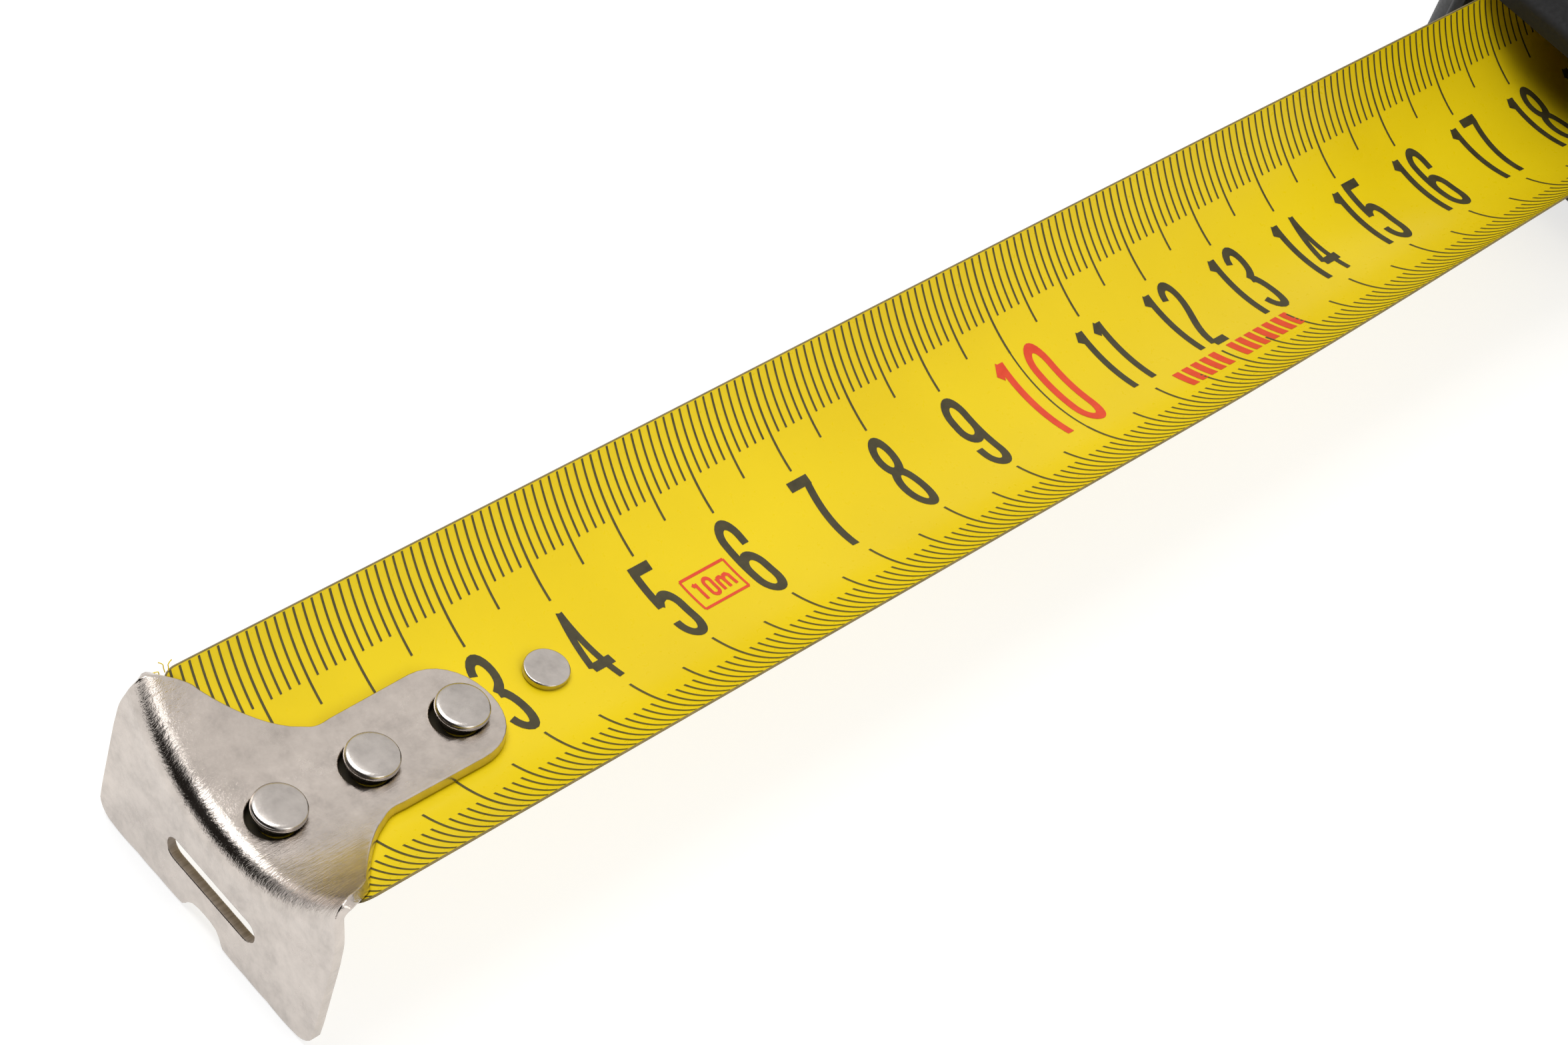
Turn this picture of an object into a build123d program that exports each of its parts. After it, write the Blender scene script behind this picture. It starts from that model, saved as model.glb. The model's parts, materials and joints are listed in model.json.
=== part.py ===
from build123d import *
import os
from math import asin, cos, sin, radians

os.makedirs("parts", exist_ok=True)

# Pocket tape measure, 10 m by 32 mm class, with the blade drawn part way out. Millimetres.
# X runs from the hook towards the back of the case, Y across the blade, Z up from the case's base.
# The drum's axis is parallel to Y, above the origin.

# blade and its printed trough
BLADE_W = 32.0  # flat width
BLADE_T = 0.3
TROUGH_R = 16.65  # radius of the printed concave face
TROUGH_Z = 11.0  # lowest line of the printed face
HOOK_X = -226.5  # zero of the scale
BLADE_START = HOOK_X + 2.0
BLADE_INNER = -24.0

# drum
DRUM_Z = 42.7
COIL_R = 30.2
HUB_R = 19.0
HUB_BORE = 17.4
FLANGE_R = 31.0
FLANGE_T = 0.8
HUB_HALF = 16.2
POST_R = 4.0
RUN_GAP = 0.06

# case
BASE_Z = 1.5
CASE_FRONT = -41.0
CASE_BACK = 37.0
CASE_TOP = 79.0
CASE_HALF = 21.0
WALL = 2.4
CAVITY_HALF = 18.6
NOSE_FRONT = -47.0

# hook
HOOK_T = 1.0
HOOK_GAP = 0.1
HOOK_PLAY = 1.1
RIVET_X = (5.0, 15.0, 25.0)
STOP_X = 35.0

AXIS_Z = TROUGH_Z + TROUGH_R  # centre line of the trough's arc
HALF_ANGLE = BLADE_W / 2 / TROUGH_R

DARK = Color(0.1, 0.1, 0.11)
RUBBER = Color(0.04, 0.04, 0.04)
STEEL = Color(0.72, 0.7, 0.68)
YELLOW = Color(0.9, 0.78, 0.12)


def save(part, name, color):
    part.label = name
    part.color = color
    export_step(part, "parts/" + name + ".step")


def trough_band(r_in, r_out, half):
    # closed band between two arcs about the trough's centre line, seen along X
    with BuildSketch() as band:
        with BuildLine():
            a0 = (r_in * sin(-half), AXIS_Z - r_in * cos(half))
            a1 = (r_in * sin(half), AXIS_Z - r_in * cos(half))
            b0 = (r_out * sin(-half), AXIS_Z - r_out * cos(half))
            b1 = (r_out * sin(half), AXIS_Z - r_out * cos(half))
            ThreePointArc(a0, (0, AXIS_Z - r_in), a1)
            Line(a1, b1)
            ThreePointArc(b1, (0, AXIS_Z - r_out), b0)
            Line(b0, a0)
        make_face()
    return band.sketch


def side_profile(grow, front=CASE_FRONT):
    # the case seen from the side: flat base, upright nose, sloping front, big round back
    with BuildSketch() as prof:
        with BuildLine():
            FilletPolyline(
                (front - grow, BASE_Z - grow),
                (CASE_BACK + grow, BASE_Z - grow),
                (CASE_BACK + grow, CASE_TOP + grow),
                (-28.0 - grow, CASE_TOP + grow),
                (front - grow, 48.0),
                radius=(max(3 + grow, 1.5), 14 + grow, 24 + grow, 14 + grow, 14 + grow),
                close=True,
            )
        make_face()
    return prof.sketch


PLANE_SIDE = Plane(origin=(0, 0, 0), x_dir=(1, 0, 0), z_dir=(0, -1, 0))  # local x is X, local y is Z


def side_plane(y):
    return PLANE_SIDE.offset(-y)


FRONT_U = Vector(13.0, 0, 31.0).normalized()  # up the sloping front
FRONT_N = Vector(-31.0, 0, 13.0).normalized()  # out of the sloping front
LOCK_AT = Vector(CASE_FRONT, 0, 48.0) + FRONT_U * 13.5
LOCK_PLANE = Plane(origin=LOCK_AT, x_dir=(0, -1, 0), z_dir=FRONT_N)  # local y is up the slope
LOCK_LOW = -3.5  # the button's middle when locked, along the slope
LOCK_TRAVEL = 7.0

SCREWS = [(-34.0, 34.0), (-20.0, 71.5), (26.2, 68.0), (27.0, 9.5)]


def case_half(side):
    # side is -1 for the left half, +1 for the right
    with BuildPart() as shell:
        with BuildSketch(side_plane(0)):
            add(side_profile(0))
        extrude(amount=-side * CASE_HALF)
        fillet(shell.faces().sort_by(Axis.Y)[-1 if side > 0 else 0].edges(), 2.9)
        with BuildSketch(side_plane(0)):
            add(side_profile(-WALL))
        extrude(amount=-side * CAVITY_HALF, mode=Mode.SUBTRACT)
        # bosses for the case screws
        with BuildSketch(side_plane(0)):
            with Locations(*SCREWS):
                Circle(3.2)
        extrude(amount=-side * (CAVITY_HALF + 0.4))
        # block round the strap pocket in the rear lower corner
        with BuildSketch(side_plane(0)):
            with Locations((32.0, 19.0)):
                Rectangle(8.0, 15.0)
        extrude(amount=-side * 8.0)
        # boss that holds the centre post
        with BuildSketch(side_plane(side * 17.4)):
            with Locations((0, DRUM_Z)):
                Circle(7.5)
        extrude(amount=-side * 1.6)
        with BuildSketch(side_plane(side * 10)):
            with Locations((0, DRUM_Z)):
                Circle(POST_R)
        extrude(amount=-side * 9.6, mode=Mode.SUBTRACT)
        # screw holes: blind in the left half, through with a counterbore in the right
        with BuildSketch(side_plane(0)):
            with Locations(*SCREWS):
                Circle(1.5)
        extrude(amount=-side * (12.0 if side < 0 else 30.0), mode=Mode.SUBTRACT)
        if side > 0:
            with BuildSketch(side_plane(18.8)):
                with Locations(*SCREWS):
                    Circle(2.9)
            extrude(amount=-10.0, mode=Mode.SUBTRACT)
        # mouth through the front wall
        with Locations((CASE_FRONT, 0, 15.0)):
            Box(12, 30.4, 13.0, mode=Mode.SUBTRACT)
        # slot that the thumb lock's stem slides in
        with BuildSketch(LOCK_PLANE.offset(-5)):
            SlotOverall(17.4, 7.0, rotation=90)
        extrude(amount=9.0, mode=Mode.SUBTRACT)
        # flat track inside the sloping wall that the lock's slider runs on
        with BuildSketch(LOCK_PLANE.offset(-2.3)):
            Rectangle(15.2, 19.6)
        extrude(amount=-1.2, mode=Mode.SUBTRACT)
        # strap pocket
        with Locations((35.2, 0, 19.0)):
            Box(12.0, 12.0, 12.0, mode=Mode.SUBTRACT)
        # bore for the strap pin
        with BuildSketch(side_plane(0)):
            with Locations((34.8, 19.0)):
                Circle(1.2)
        extrude(amount=-side * 7.2, mode=Mode.SUBTRACT)
    return shell.part


save(case_half(-1), "case_left", DARK)
save(case_half(1), "case_right", DARK)

# steel pin across the strap pocket
with BuildPart() as strap_pin:
    with BuildSketch(side_plane(7.2)):
        with Locations((34.8, 19.0)):
            Circle(1.2)
    extrude(amount=14.4)
save(strap_pin.part, "strap_pin", STEEL)

# rubber band over the top and back of the case, with grip ribs on top
with BuildPart() as bumper:
    with BuildSketch(side_plane(14.0)):
        add(side_profile(1.8))
        add(side_profile(0), mode=Mode.SUBTRACT)
    extrude(amount=28.0)
    fillet(bumper.faces().sort_by(Axis.Y)[0].outer_wire().edges(), 0.8)
    fillet(bumper.faces().sort_by(Axis.Y)[-1].outer_wire().edges(), 0.8)
    with BuildSketch(side_plane(20.0)):
        with BuildLine():
            Polyline((-60, -10), (-60, 90), (-27.5, 90), (-18.0, 60), (18, 34), (60, 34), (60, -10), close=True)
        make_face()
    extrude(amount=40.0, mode=Mode.SUBTRACT)
    for i in range(7):
        with Locations((-14.0 + i * 4.0, 0, CASE_TOP + 1.8)):
            Box(1.4, 40, 1.2, mode=Mode.SUBTRACT)
save(bumper.part, "bumper", RUBBER)


def side_grip(side):
    # rubber pad on one side of the case
    with BuildPart() as grip:
        with BuildSketch(side_plane(side * CASE_HALF)):
            add(side_profile(-5.0))
        extrude(amount=-side * 1.6)
        fillet(grip.faces().sort_by(Axis.Y)[-1 if side > 0 else 0].edges(), 0.7)
        if side < 0:
            with BuildSketch(side_plane(-CASE_HALF)):
                with Locations((0, DRUM_Z)):
                    Circle(22.0)
            extrude(amount=4.0, mode=Mode.SUBTRACT)
        else:
            with BuildSketch(side_plane(CASE_HALF)):
                with Locations(*SCREWS):
                    Circle(3.3)
                with Locations((0, 60.3)):
                    RectangleRounded(17.0, 21.0, 2.0)
            extrude(amount=-4.0, mode=Mode.SUBTRACT)
        # grip grooves along the back
        for i in range(5):
            with Locations((26.0, side * 22.9, 26.0 + i * 6.0)):
                Box(9.0, 2.0, 1.6, mode=Mode.SUBTRACT)
    return grip.part


save(side_grip(-1), "side_grip_left", RUBBER)
save(side_grip(1), "side_grip_right", RUBBER)

# round plate in the left side, with a raised rim
with BuildPart() as side_disc:
    with BuildSketch(side_plane(-CASE_HALF)):
        with Locations((0, DRUM_Z)):
            Circle(21.7)
    extrude(amount=1.5)
    with BuildSketch(side_plane(-CASE_HALF - 1.0)):
        with Locations((0, DRUM_Z)):
            Circle(19.4)
            Circle(13.0, mode=Mode.SUBTRACT)
    extrude(amount=2.0, mode=Mode.SUBTRACT)
save(side_disc.part, "side_disc", YELLOW)

# nose round the mouth: narrow in front, wider where it meets the case
with BuildPart() as mouth_frame:
    with BuildSketch(Plane(origin=(NOSE_FRONT, 0, 0), x_dir=(0, 1, 0), z_dir=(1, 0, 0))):
        with Locations((0, 13.9)):
            RectangleRounded(31.2, 17.2, 3.0)
    with BuildSketch(Plane(origin=(CASE_FRONT, 0, 0), x_dir=(0, 1, 0), z_dir=(1, 0, 0))):
        with Locations((0, 14.9)):
            RectangleRounded(37.0, 24.0, 4.0)
    loft()
    fillet(mouth_frame.faces().sort_by(Axis.X)[0].edges(), 0.9)
    with Locations((-44, 0, 14.9)):
        Box(10, 28.8, 11.0, mode=Mode.SUBTRACT)
save(mouth_frame.part, "mouth_frame", RUBBER)

# wear pad under the case
with BuildPart() as base_pad:
    with BuildSketch(Plane.XY):
        with Locations((-6.0, 0)):
            RectangleRounded(58.0, 32.0, 4.0)
    extrude(amount=BASE_Z)
    chamfer(base_pad.faces().sort_by(Axis.Z)[0].edges(), 0.4)
save(base_pad.part, "base_pad", RUBBER)

# table that the blade slides over, behind the mouth
with BuildPart() as blade_guide:
    with Locations((-22.2, 0, 8.9)):
        Box(32.4, 30.0, 1.4)
    with Locations((-22.2, 11.5, 6.1), (-22.2, -11.5, 6.1)):
        Box(30.0, 1.6, 4.4)
    with Locations((-5.8, 0, 9.6)):
        Box(3.0, 40.0, 1.2, rotation=(0, 25, 0), mode=Mode.SUBTRACT)
save(blade_guide.part, "blade_guide", DARK)

for i, (x, z) in enumerate(SCREWS):
    with BuildPart() as case_screw:
        with BuildSketch(side_plane(-11.8)):
            with Locations((x, z)):
                Circle(1.5)
        extrude(amount=-30.6)
        with BuildSketch(side_plane(18.8)):
            with Locations((x, z)):
                Circle(2.7)
        extrude(amount=-1.9)
        with BuildSketch(side_plane(20.7)):
            with Locations((x, z)):
                Rectangle(3.4, 0.7)
                Rectangle(0.7, 3.4)
        extrude(amount=1.0, mode=Mode.SUBTRACT)
    save(case_screw.part, "case_screw_" + str(i + 1), STEEL)

# fixed post through the drum, slotted for the spring's inner end
with BuildPart() as centre_post:
    with BuildSketch(side_plane(19.6)):
        with Locations((0, DRUM_Z)):
            Circle(POST_R)
    extrude(amount=39.2)
    with Locations((0, 0, DRUM_Z)):
        Box(0.9, 26, 5.0, mode=Mode.SUBTRACT)
save(centre_post.part, "centre_post", STEEL)

# sprung steel belt clip on the right side
with BuildPart() as belt_clip:
    with BuildSketch(Plane(origin=(-8, 0, 0), x_dir=(0, 1, 0), z_dir=(1, 0, 0))):
        with BuildLine():
            FilletPolyline(
                (CASE_HALF, 70.0),
                (CASE_HALF, 55.4),
                (27.1, 49.0),
                (27.1, 24.0),
                (29.5, 18.0),
                (30.5, 18.4),
                (28.1, 24.2),
                (28.1, 49.4),
                (22.0, 55.8),
                (22.0, 70.0),
                radius=(1.2, 2.2, 4.0, 0.3, 0.3, 5.0, 3.2, 0.3),
            )
            Line((22.0, 70.0), (CASE_HALF, 70.0))
        make_face()
    extrude(amount=16.0)
    with BuildSketch(side_plane(10)):
        with Locations((0, 64.0)):
            Circle(2.0)
    extrude(amount=-30.0, mode=Mode.SUBTRACT)
    fillet(belt_clip.edges().filter_by(Axis.Y).group_by(Axis.Z)[-1], 3.0)
save(belt_clip.part, "belt_clip", STEEL)

with BuildPart() as clip_screw:
    with BuildSketch(side_plane(22.0)):
        with Locations((0, 64.0)):
            Circle(3.6)
    extrude(amount=-1.6)
    with BuildSketch(side_plane(22.0)):
        with Locations((0, 64.0)):
            Circle(2.0)
    extrude(amount=1.0)
    with BuildSketch(side_plane(23.6)):
        with Locations((0, 64.0)):
            Rectangle(4.4, 0.9)
            Rectangle(0.9, 4.4)
    extrude(amount=0.9, mode=Mode.SUBTRACT)
save(clip_screw.part, "clip_screw", STEEL)

# thumb lock: cap outside, stem through the slot
with BuildPart() as lock_button:
    with BuildSketch(LOCK_PLANE.offset(0.3)):
        with Locations((0, LOCK_LOW)):
            RectangleRounded(15.0, 12.0, 2.5)
    extrude(amount=4.4)
    fillet(lock_button.faces().sort_by(Axis((0, 0, 0), FRONT_N))[-1].edges(), 0.9)
    for i in range(4):
        with BuildSketch(LOCK_PLANE.offset(4.1)):
            with Locations((0, LOCK_LOW - 3.6 + i * 2.4)):
                Rectangle(12.0, 0.9)
        extrude(amount=2.0, mode=Mode.SUBTRACT)
    with BuildSketch(LOCK_PLANE.offset(-2.7)):
        with Locations((0, LOCK_LOW)):
            RectangleRounded(6.2, 7.0, 1.5)
    extrude(amount=3.2)
save(lock_button.part, "lock_button", RUBBER)

# slider inside the wall
with BuildPart() as lock_slider:
    with BuildSketch(LOCK_PLANE.offset(-3.7)):
        with Locations((0, LOCK_LOW)):
            RectangleRounded(14.0, 11.0, 1.0)
    extrude(amount=1.0)
save(lock_slider.part, "lock_slider", STEEL)

# curved shoe that bears on the wound blade
LOCK_DIST = 39.86  # drum axis to the sloping front's outer face
with BuildPart() as brake_shoe:
    with BuildSketch(side_plane(12.0)):
        with BuildLine():
            c = Vector(0, DRUM_Z)
            n = Vector(FRONT_N.X, FRONT_N.Z)
            u = Vector(FRONT_U.X, FRONT_U.Z)
            spread = radians(13)
            a = c + (n * cos(spread) - u * sin(spread)) * 30.6
            b = c + (n * cos(spread) + u * sin(spread)) * 30.6
            ThreePointArc(a, c + n * 30.6, b)
            Line(b, b + n * (34.3 - 30.6 * cos(spread)))
            Line(b + n * (34.3 - 30.6 * cos(spread)), a + n * (34.3 - 30.6 * cos(spread)))
            Line(a + n * (34.3 - 30.6 * cos(spread)), a)
        make_face()
    extrude(amount=24.0)
save(brake_shoe.part, "brake_shoe", RUBBER)

# drum: hub, flanges and bushes
with BuildPart() as drum_hub:
    with BuildSketch(side_plane(HUB_HALF)):
        with Locations((0, DRUM_Z)):
            Circle(HUB_R)
            Circle(HUB_BORE, mode=Mode.SUBTRACT)
    extrude(amount=2 * HUB_HALF)
save(drum_hub.part, "drum_hub", DARK)

for side, word in ((-1, "left"), (1, "right")):
    with BuildPart() as drum_flange:
        with BuildSketch(side_plane(side * HUB_HALF)):
            with Locations((0, DRUM_Z)):
                Circle(FLANGE_R)
                Circle(7.0, mode=Mode.SUBTRACT)
                with PolarLocations(24.8, 6):
                    Circle(2.2, mode=Mode.SUBTRACT)
        extrude(amount=-side * FLANGE_T)
    save(drum_flange.part, "drum_flange_" + word, DARK)
    with BuildPart() as drum_bush:
        with BuildSketch(side_plane(side * (HUB_HALF - 1.2))):
            with Locations((0, DRUM_Z)):
                Circle(9.0)
                Circle(POST_R + RUN_GAP, mode=Mode.SUBTRACT)
        extrude(amount=-side * 1.2)
        with BuildSketch(side_plane(side * HUB_HALF)):
            with Locations((0, DRUM_Z)):
                Circle(7.0)
                Circle(POST_R + RUN_GAP, mode=Mode.SUBTRACT)
        extrude(amount=-side * FLANGE_T)
    save(drum_bush.part, "drum_bush_" + word, STEEL)


def spiral(r0, turns, pitch, thick, half):
    # flat strip wound as joined half circles, closed into one band
    step = pitch / 2

    def ends(k, grow):
        centre = -step / 2 if k % 2 == 0 else step / 2
        r = r0 + k * step + grow
        return centre, r

    with BuildPart() as wound:
        with BuildSketch(side_plane(half)):
            with Locations((0, DRUM_Z)):
                with BuildLine():
                    for grow in (-thick / 2, thick / 2):
                        for k in range(2 * turns):
                            centre, r = ends(k, grow)
                            up = 1 if k % 2 == 0 else -1
                            ThreePointArc(
                                (centre + up * r, DRUM_Z),
                                (centre, DRUM_Z + up * r),
                                (centre - up * r, DRUM_Z),
                            )
                    for k, sign in ((0, 1), (2 * turns - 1, 1)):
                        centre, r = ends(k, 0)
                        x = centre + r
                        Line((x - thick / 2, DRUM_Z), (x + thick / 2, DRUM_Z))
            make_face()
        extrude(amount=2 * half)
    return wound.part


# the wound blade, between the flanges
COIL_TURNS = 12
COIL_PITCH = 0.88
coil = spiral(19.6, COIL_TURNS, COIL_PITCH, 0.65, BLADE_W / 2)
print("coil outer", coil.bounding_box().max.X, "volume", coil.volume)
save(coil, "coiled_blade", YELLOW)

# mainspring in its cassette
spring = spiral(5.6, 9, 1.2, 0.6, 12.5)
print("spring outer", spring.bounding_box().max.X, "volume", spring.volume)
save(spring, "mainspring", STEEL)

with BuildPart() as spring_cover:
    with BuildSketch(side_plane(14.4)):
        with Locations((0, DRUM_Z)):
            Circle(HUB_BORE)
            Circle(9.3, mode=Mode.SUBTRACT)
    extrude(amount=1.0)
save(spring_cover.part, "spring_cover", STEEL)

# blade: straight trough-shaped length, pierced for the rivets
with BuildPart() as blade_strip:
    with BuildSketch(Plane(origin=(BLADE_START, 0, 0), x_dir=(0, 1, 0), z_dir=(1, 0, 0))):
        add(trough_band(TROUGH_R, TROUGH_R + BLADE_T, HALF_ANGLE))
    extrude(amount=BLADE_INNER - BLADE_START)
    with BuildSketch(Plane.XY):
        for x in RIVET_X + (STOP_X,):
            with Locations((HOOK_X + x, 0)):
                Circle(1.8)
    extrude(amount=30.0, mode=Mode.SUBTRACT)
save(blade_strip.part, "blade_strip", YELLOW)

# length that flattens between the mouth and the coil
FLAT_Z = 12.0
FLAT_START = -10.0
with BuildPart() as blade_throat:
    with BuildSketch(Plane(origin=(BLADE_INNER + 0.2, 0, 0), x_dir=(0, 1, 0), z_dir=(1, 0, 0))):
        add(trough_band(TROUGH_R, TROUGH_R + BLADE_T, HALF_ANGLE))
    with BuildSketch(Plane(origin=(FLAT_START, 0, 0), x_dir=(0, 1, 0), z_dir=(1, 0, 0))):
        with BuildLine():
            top = FLAT_Z
            low = FLAT_Z - BLADE_T
            ThreePointArc((-15.98, top + 0.3), (0, top), (15.98, top + 0.3))
            Line((15.98, top + 0.3), (15.98, low + 0.3))
            ThreePointArc((15.98, low + 0.3), (0, low), (-15.98, low + 0.3))
            Line((-15.98, low + 0.3), (-15.98, top + 0.3))
        make_face()
    loft(ruled=True)
save(blade_throat.part, "blade_throat", YELLOW)

for i, x in enumerate(RIVET_X):
    with BuildPart() as hook_rivet:
        # tail under the blade, shank through blade and hook, low domed head with a thin rim
        with BuildSketch(Plane(origin=(HOOK_X + x, 0, 0), x_dir=(1, 0, 0), z_dir=(0, -1, 0))):
            with BuildLine():
                Polyline(
                    (0, 13.35),
                    (0, 10.1),
                    (2.3, 10.1),
                    (2.3, 10.68),
                    (1.8, 10.68),
                    (1.8, 12.4),
                    (2.5, 12.4),
                    (2.5, 12.75),
                )
                dome_r = (2.5**2 + 0.6**2) / 1.2
                lean = asin(2.5 / dome_r) / 2
                ThreePointArc(
                    (2.5, 12.75), (dome_r * sin(lean), 13.35 - dome_r * (1 - cos(lean))), (0, 13.35)
                )
            make_face()
        revolve(axis=Axis((HOOK_X + x, 0, 0), (0, 0, 1)))
    save(hook_rivet.part, "hook_rivet_" + str(i + 1), STEEL)

with BuildPart() as stop_rivet:
    with BuildSketch(Plane.XY.offset(10.1)):
        with Locations((HOOK_X + STOP_X, 0)):
            Circle(2.1)
    extrude(amount=0.58)
    with BuildSketch(Plane.XY.offset(10.1)):
        with Locations((HOOK_X + STOP_X, 0)):
            Circle(1.8)
    extrude(amount=1.1)
    with BuildSketch(Plane.XY.offset(11.16)):
        with Locations((HOOK_X + STOP_X, 0)):
            Circle(2.15)
    extrude(amount=0.6)
    fillet(stop_rivet.edges().filter_by(GeomType.CIRCLE).group_by(Axis.Z)[-1], 0.18)
save(stop_rivet.part, "stop_rivet", STEEL)

# end hook: tongue and shoulders follow the trough, the face plate hangs in front of the blade
R_OUT = TROUGH_R - HOOK_GAP  # underside of the tongue
R_IN = R_OUT - HOOK_T  # its upper face
FACE_OUT = HOOK_X - HOOK_T
FACE_HALF = 14.9
FACE_LOW = 0.1
SLOT_LONG = 12.0
SLOT_HIGH = 2.5
SLOT_Z = 5.55
with BuildPart() as end_hook:
    with BuildSketch(Plane(origin=(FACE_OUT, 0, 0), x_dir=(0, 1, 0), z_dir=(1, 0, 0))):
        add(trough_band(R_IN, R_OUT, HALF_ANGLE))
    extrude(amount=29.6)
    with BuildSketch(Plane.XY):
        with BuildLine():
            Line((FACE_OUT, -14.6), (HOOK_X + 2.2, -13.9))
            Line((HOOK_X + 2.2, -13.9), (HOOK_X + 8.4, -8.4))
            TangentArc((HOOK_X + 8.4, -8.4), (HOOK_X + 13.4, -5.5), tangent=(6.2, 5.5))
            Line((HOOK_X + 13.4, -5.5), (HOOK_X + 23.0, -5.5))
            ThreePointArc((HOOK_X + 23.0, -5.5), (HOOK_X + 28.5, 0), (HOOK_X + 23.0, 5.5))
            Line((HOOK_X + 23.0, 5.5), (HOOK_X + 13.4, 5.5))
            TangentArc((HOOK_X + 8.4, 8.4), (HOOK_X + 13.4, 5.5), tangent=(6.2, -5.5))
            Line((HOOK_X + 8.4, 8.4), (HOOK_X + 2.2, 13.9))
            Line((HOOK_X + 2.2, 13.9), (FACE_OUT, 14.6))
            Line((FACE_OUT, 14.6), (FACE_OUT, -14.6))
        make_face()
    extrude(amount=30.0, mode=Mode.INTERSECT)
    # face plate: below the tongue's curve, with rounded lower corners and a shallow notch
    with BuildSketch(Plane(origin=(FACE_OUT, 0, 0), x_dir=(0, 1, 0), z_dir=(1, 0, 0))):
        with BuildLine():
            top_z = AXIS_Z - R_IN * cos(HALF_ANGLE)
            top_y = R_IN * sin(HALF_ANGLE)
            ThreePointArc((-top_y, top_z), (0, AXIS_Z - R_IN), (top_y, top_z))
            Line((top_y, top_z), (FACE_HALF, top_z - 0.4))
            Line((FACE_HALF, top_z - 0.4), (FACE_HALF, FACE_LOW + 2.6))
            ThreePointArc(
                (FACE_HALF, FACE_LOW + 2.6), (FACE_HALF - 0.76, FACE_LOW + 0.76), (FACE_HALF - 2.6, FACE_LOW)
            )
            Line((FACE_HALF - 2.6, FACE_LOW), (2.5, FACE_LOW))
            ThreePointArc((2.5, FACE_LOW), (0, FACE_LOW + 1.7), (-2.5, FACE_LOW))
            Line((-2.5, FACE_LOW), (2.6 - FACE_HALF, FACE_LOW))
            ThreePointArc(
                (2.6 - FACE_HALF, FACE_LOW), (0.76 - FACE_HALF, FACE_LOW + 0.76), (-FACE_HALF, FACE_LOW + 2.6)
            )
            Line((-FACE_HALF, FACE_LOW + 2.6), (-FACE_HALF, top_z - 0.4))
            Line((-FACE_HALF, top_z - 0.4), (-top_y, top_z))
        make_face()
        with Locations((0, SLOT_Z)):
            SlotOverall(SLOT_LONG, SLOT_HIGH, mode=Mode.SUBTRACT)
    extrude(amount=HOOK_T)
    # round holes, larger than the rivets' shanks by the hook's play
    with BuildSketch(Plane.XY.offset(8.0)):
        for x in RIVET_X:
            with Locations((HOOK_X + x - HOOK_PLAY / 2, 0)):
                Circle(2.45)
    extrude(amount=10.0, mode=Mode.SUBTRACT)
save(end_hook.part, "end_hook", STEEL)
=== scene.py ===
import json
import math

import bmesh
import bpy
from mathutils import Matrix, Vector


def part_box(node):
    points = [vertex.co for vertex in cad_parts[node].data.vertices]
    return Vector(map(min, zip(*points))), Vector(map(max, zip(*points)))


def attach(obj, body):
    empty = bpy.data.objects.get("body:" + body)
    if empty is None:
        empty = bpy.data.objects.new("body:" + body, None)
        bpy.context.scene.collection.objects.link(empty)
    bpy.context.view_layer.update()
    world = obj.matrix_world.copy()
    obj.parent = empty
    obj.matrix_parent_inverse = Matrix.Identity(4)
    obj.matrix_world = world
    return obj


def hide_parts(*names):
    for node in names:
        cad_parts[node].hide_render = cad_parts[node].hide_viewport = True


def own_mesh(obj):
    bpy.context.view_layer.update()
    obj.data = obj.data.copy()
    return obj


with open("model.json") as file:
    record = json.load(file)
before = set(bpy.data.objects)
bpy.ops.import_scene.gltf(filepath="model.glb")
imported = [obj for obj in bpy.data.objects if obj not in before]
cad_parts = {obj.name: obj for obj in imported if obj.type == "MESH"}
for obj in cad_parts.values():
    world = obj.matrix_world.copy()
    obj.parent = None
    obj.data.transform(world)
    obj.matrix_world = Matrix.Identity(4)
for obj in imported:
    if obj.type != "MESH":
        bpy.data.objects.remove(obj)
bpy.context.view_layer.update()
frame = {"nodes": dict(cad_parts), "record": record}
MM = 0.001

# ---------------------------------------------------------------- sizes, in millimetres
HOOK_T = 1.0
HOOK_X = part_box("end_hook")[0][0] / MM + HOOK_T  # zero of the scale: the inside of the hook's face
HOOK_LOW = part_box("end_hook")[0][2] / MM
TROUGH_R = 16.65
TROUGH_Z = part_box("blade_strip")[0][2] / MM + 0.3  # printed face, at the bottom of the trough
AXIS_Z = TROUGH_Z + TROUGH_R
BLADE_T = 0.2
BLADE_HALF = 16.0
BLADE_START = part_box("blade_strip")[0][0] / MM - HOOK_X
BLADE_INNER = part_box("blade_strip")[1][0] / MM - HOOK_X
RIVET_X = (5.0, 15.0, 25.0)
CLOSING_FROM, CLOSING_LENGTH, CLOSING_BY = 105.0, 75.0, 2.7
RED_CM = 10  # the decimetre, printed larger and red


def eased(t):
    """0 to 1 with level ends."""
    return t * t * (3 - 2 * t)


def section_r(x):
    """Radius of the trough's arc, x mm from the hook: it closes up a little towards the mouth."""
    t = min(max((x - CLOSING_FROM) / CLOSING_LENGTH, 0.0), 1.0)
    return TROUGH_R - CLOSING_BY * eased(t)


def on_blade(x, s, lift=0.0):
    """Point over the printed face: x mm from the hook, s mm round the arc, lift mm above the face."""
    r = section_r(x)
    a = s / r
    return (
        (HOOK_X + x) * MM,
        (r - lift) * math.sin(a) * MM,
        (TROUGH_Z + r - (r - lift) * math.cos(a)) * MM,
    )


# ---------------------------------------------------------------- materials
def node(tree, kind, x=0, y=0, **values):
    """New node at (x, y); values are set as its attributes, or else as its inputs."""
    n = tree.nodes.new(kind)
    n.location = (x, y)
    for k, v in values.items():
        if hasattr(n, k):
            setattr(n, k, v)
        else:
            n.inputs[k].default_value = v
    return n


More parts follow.
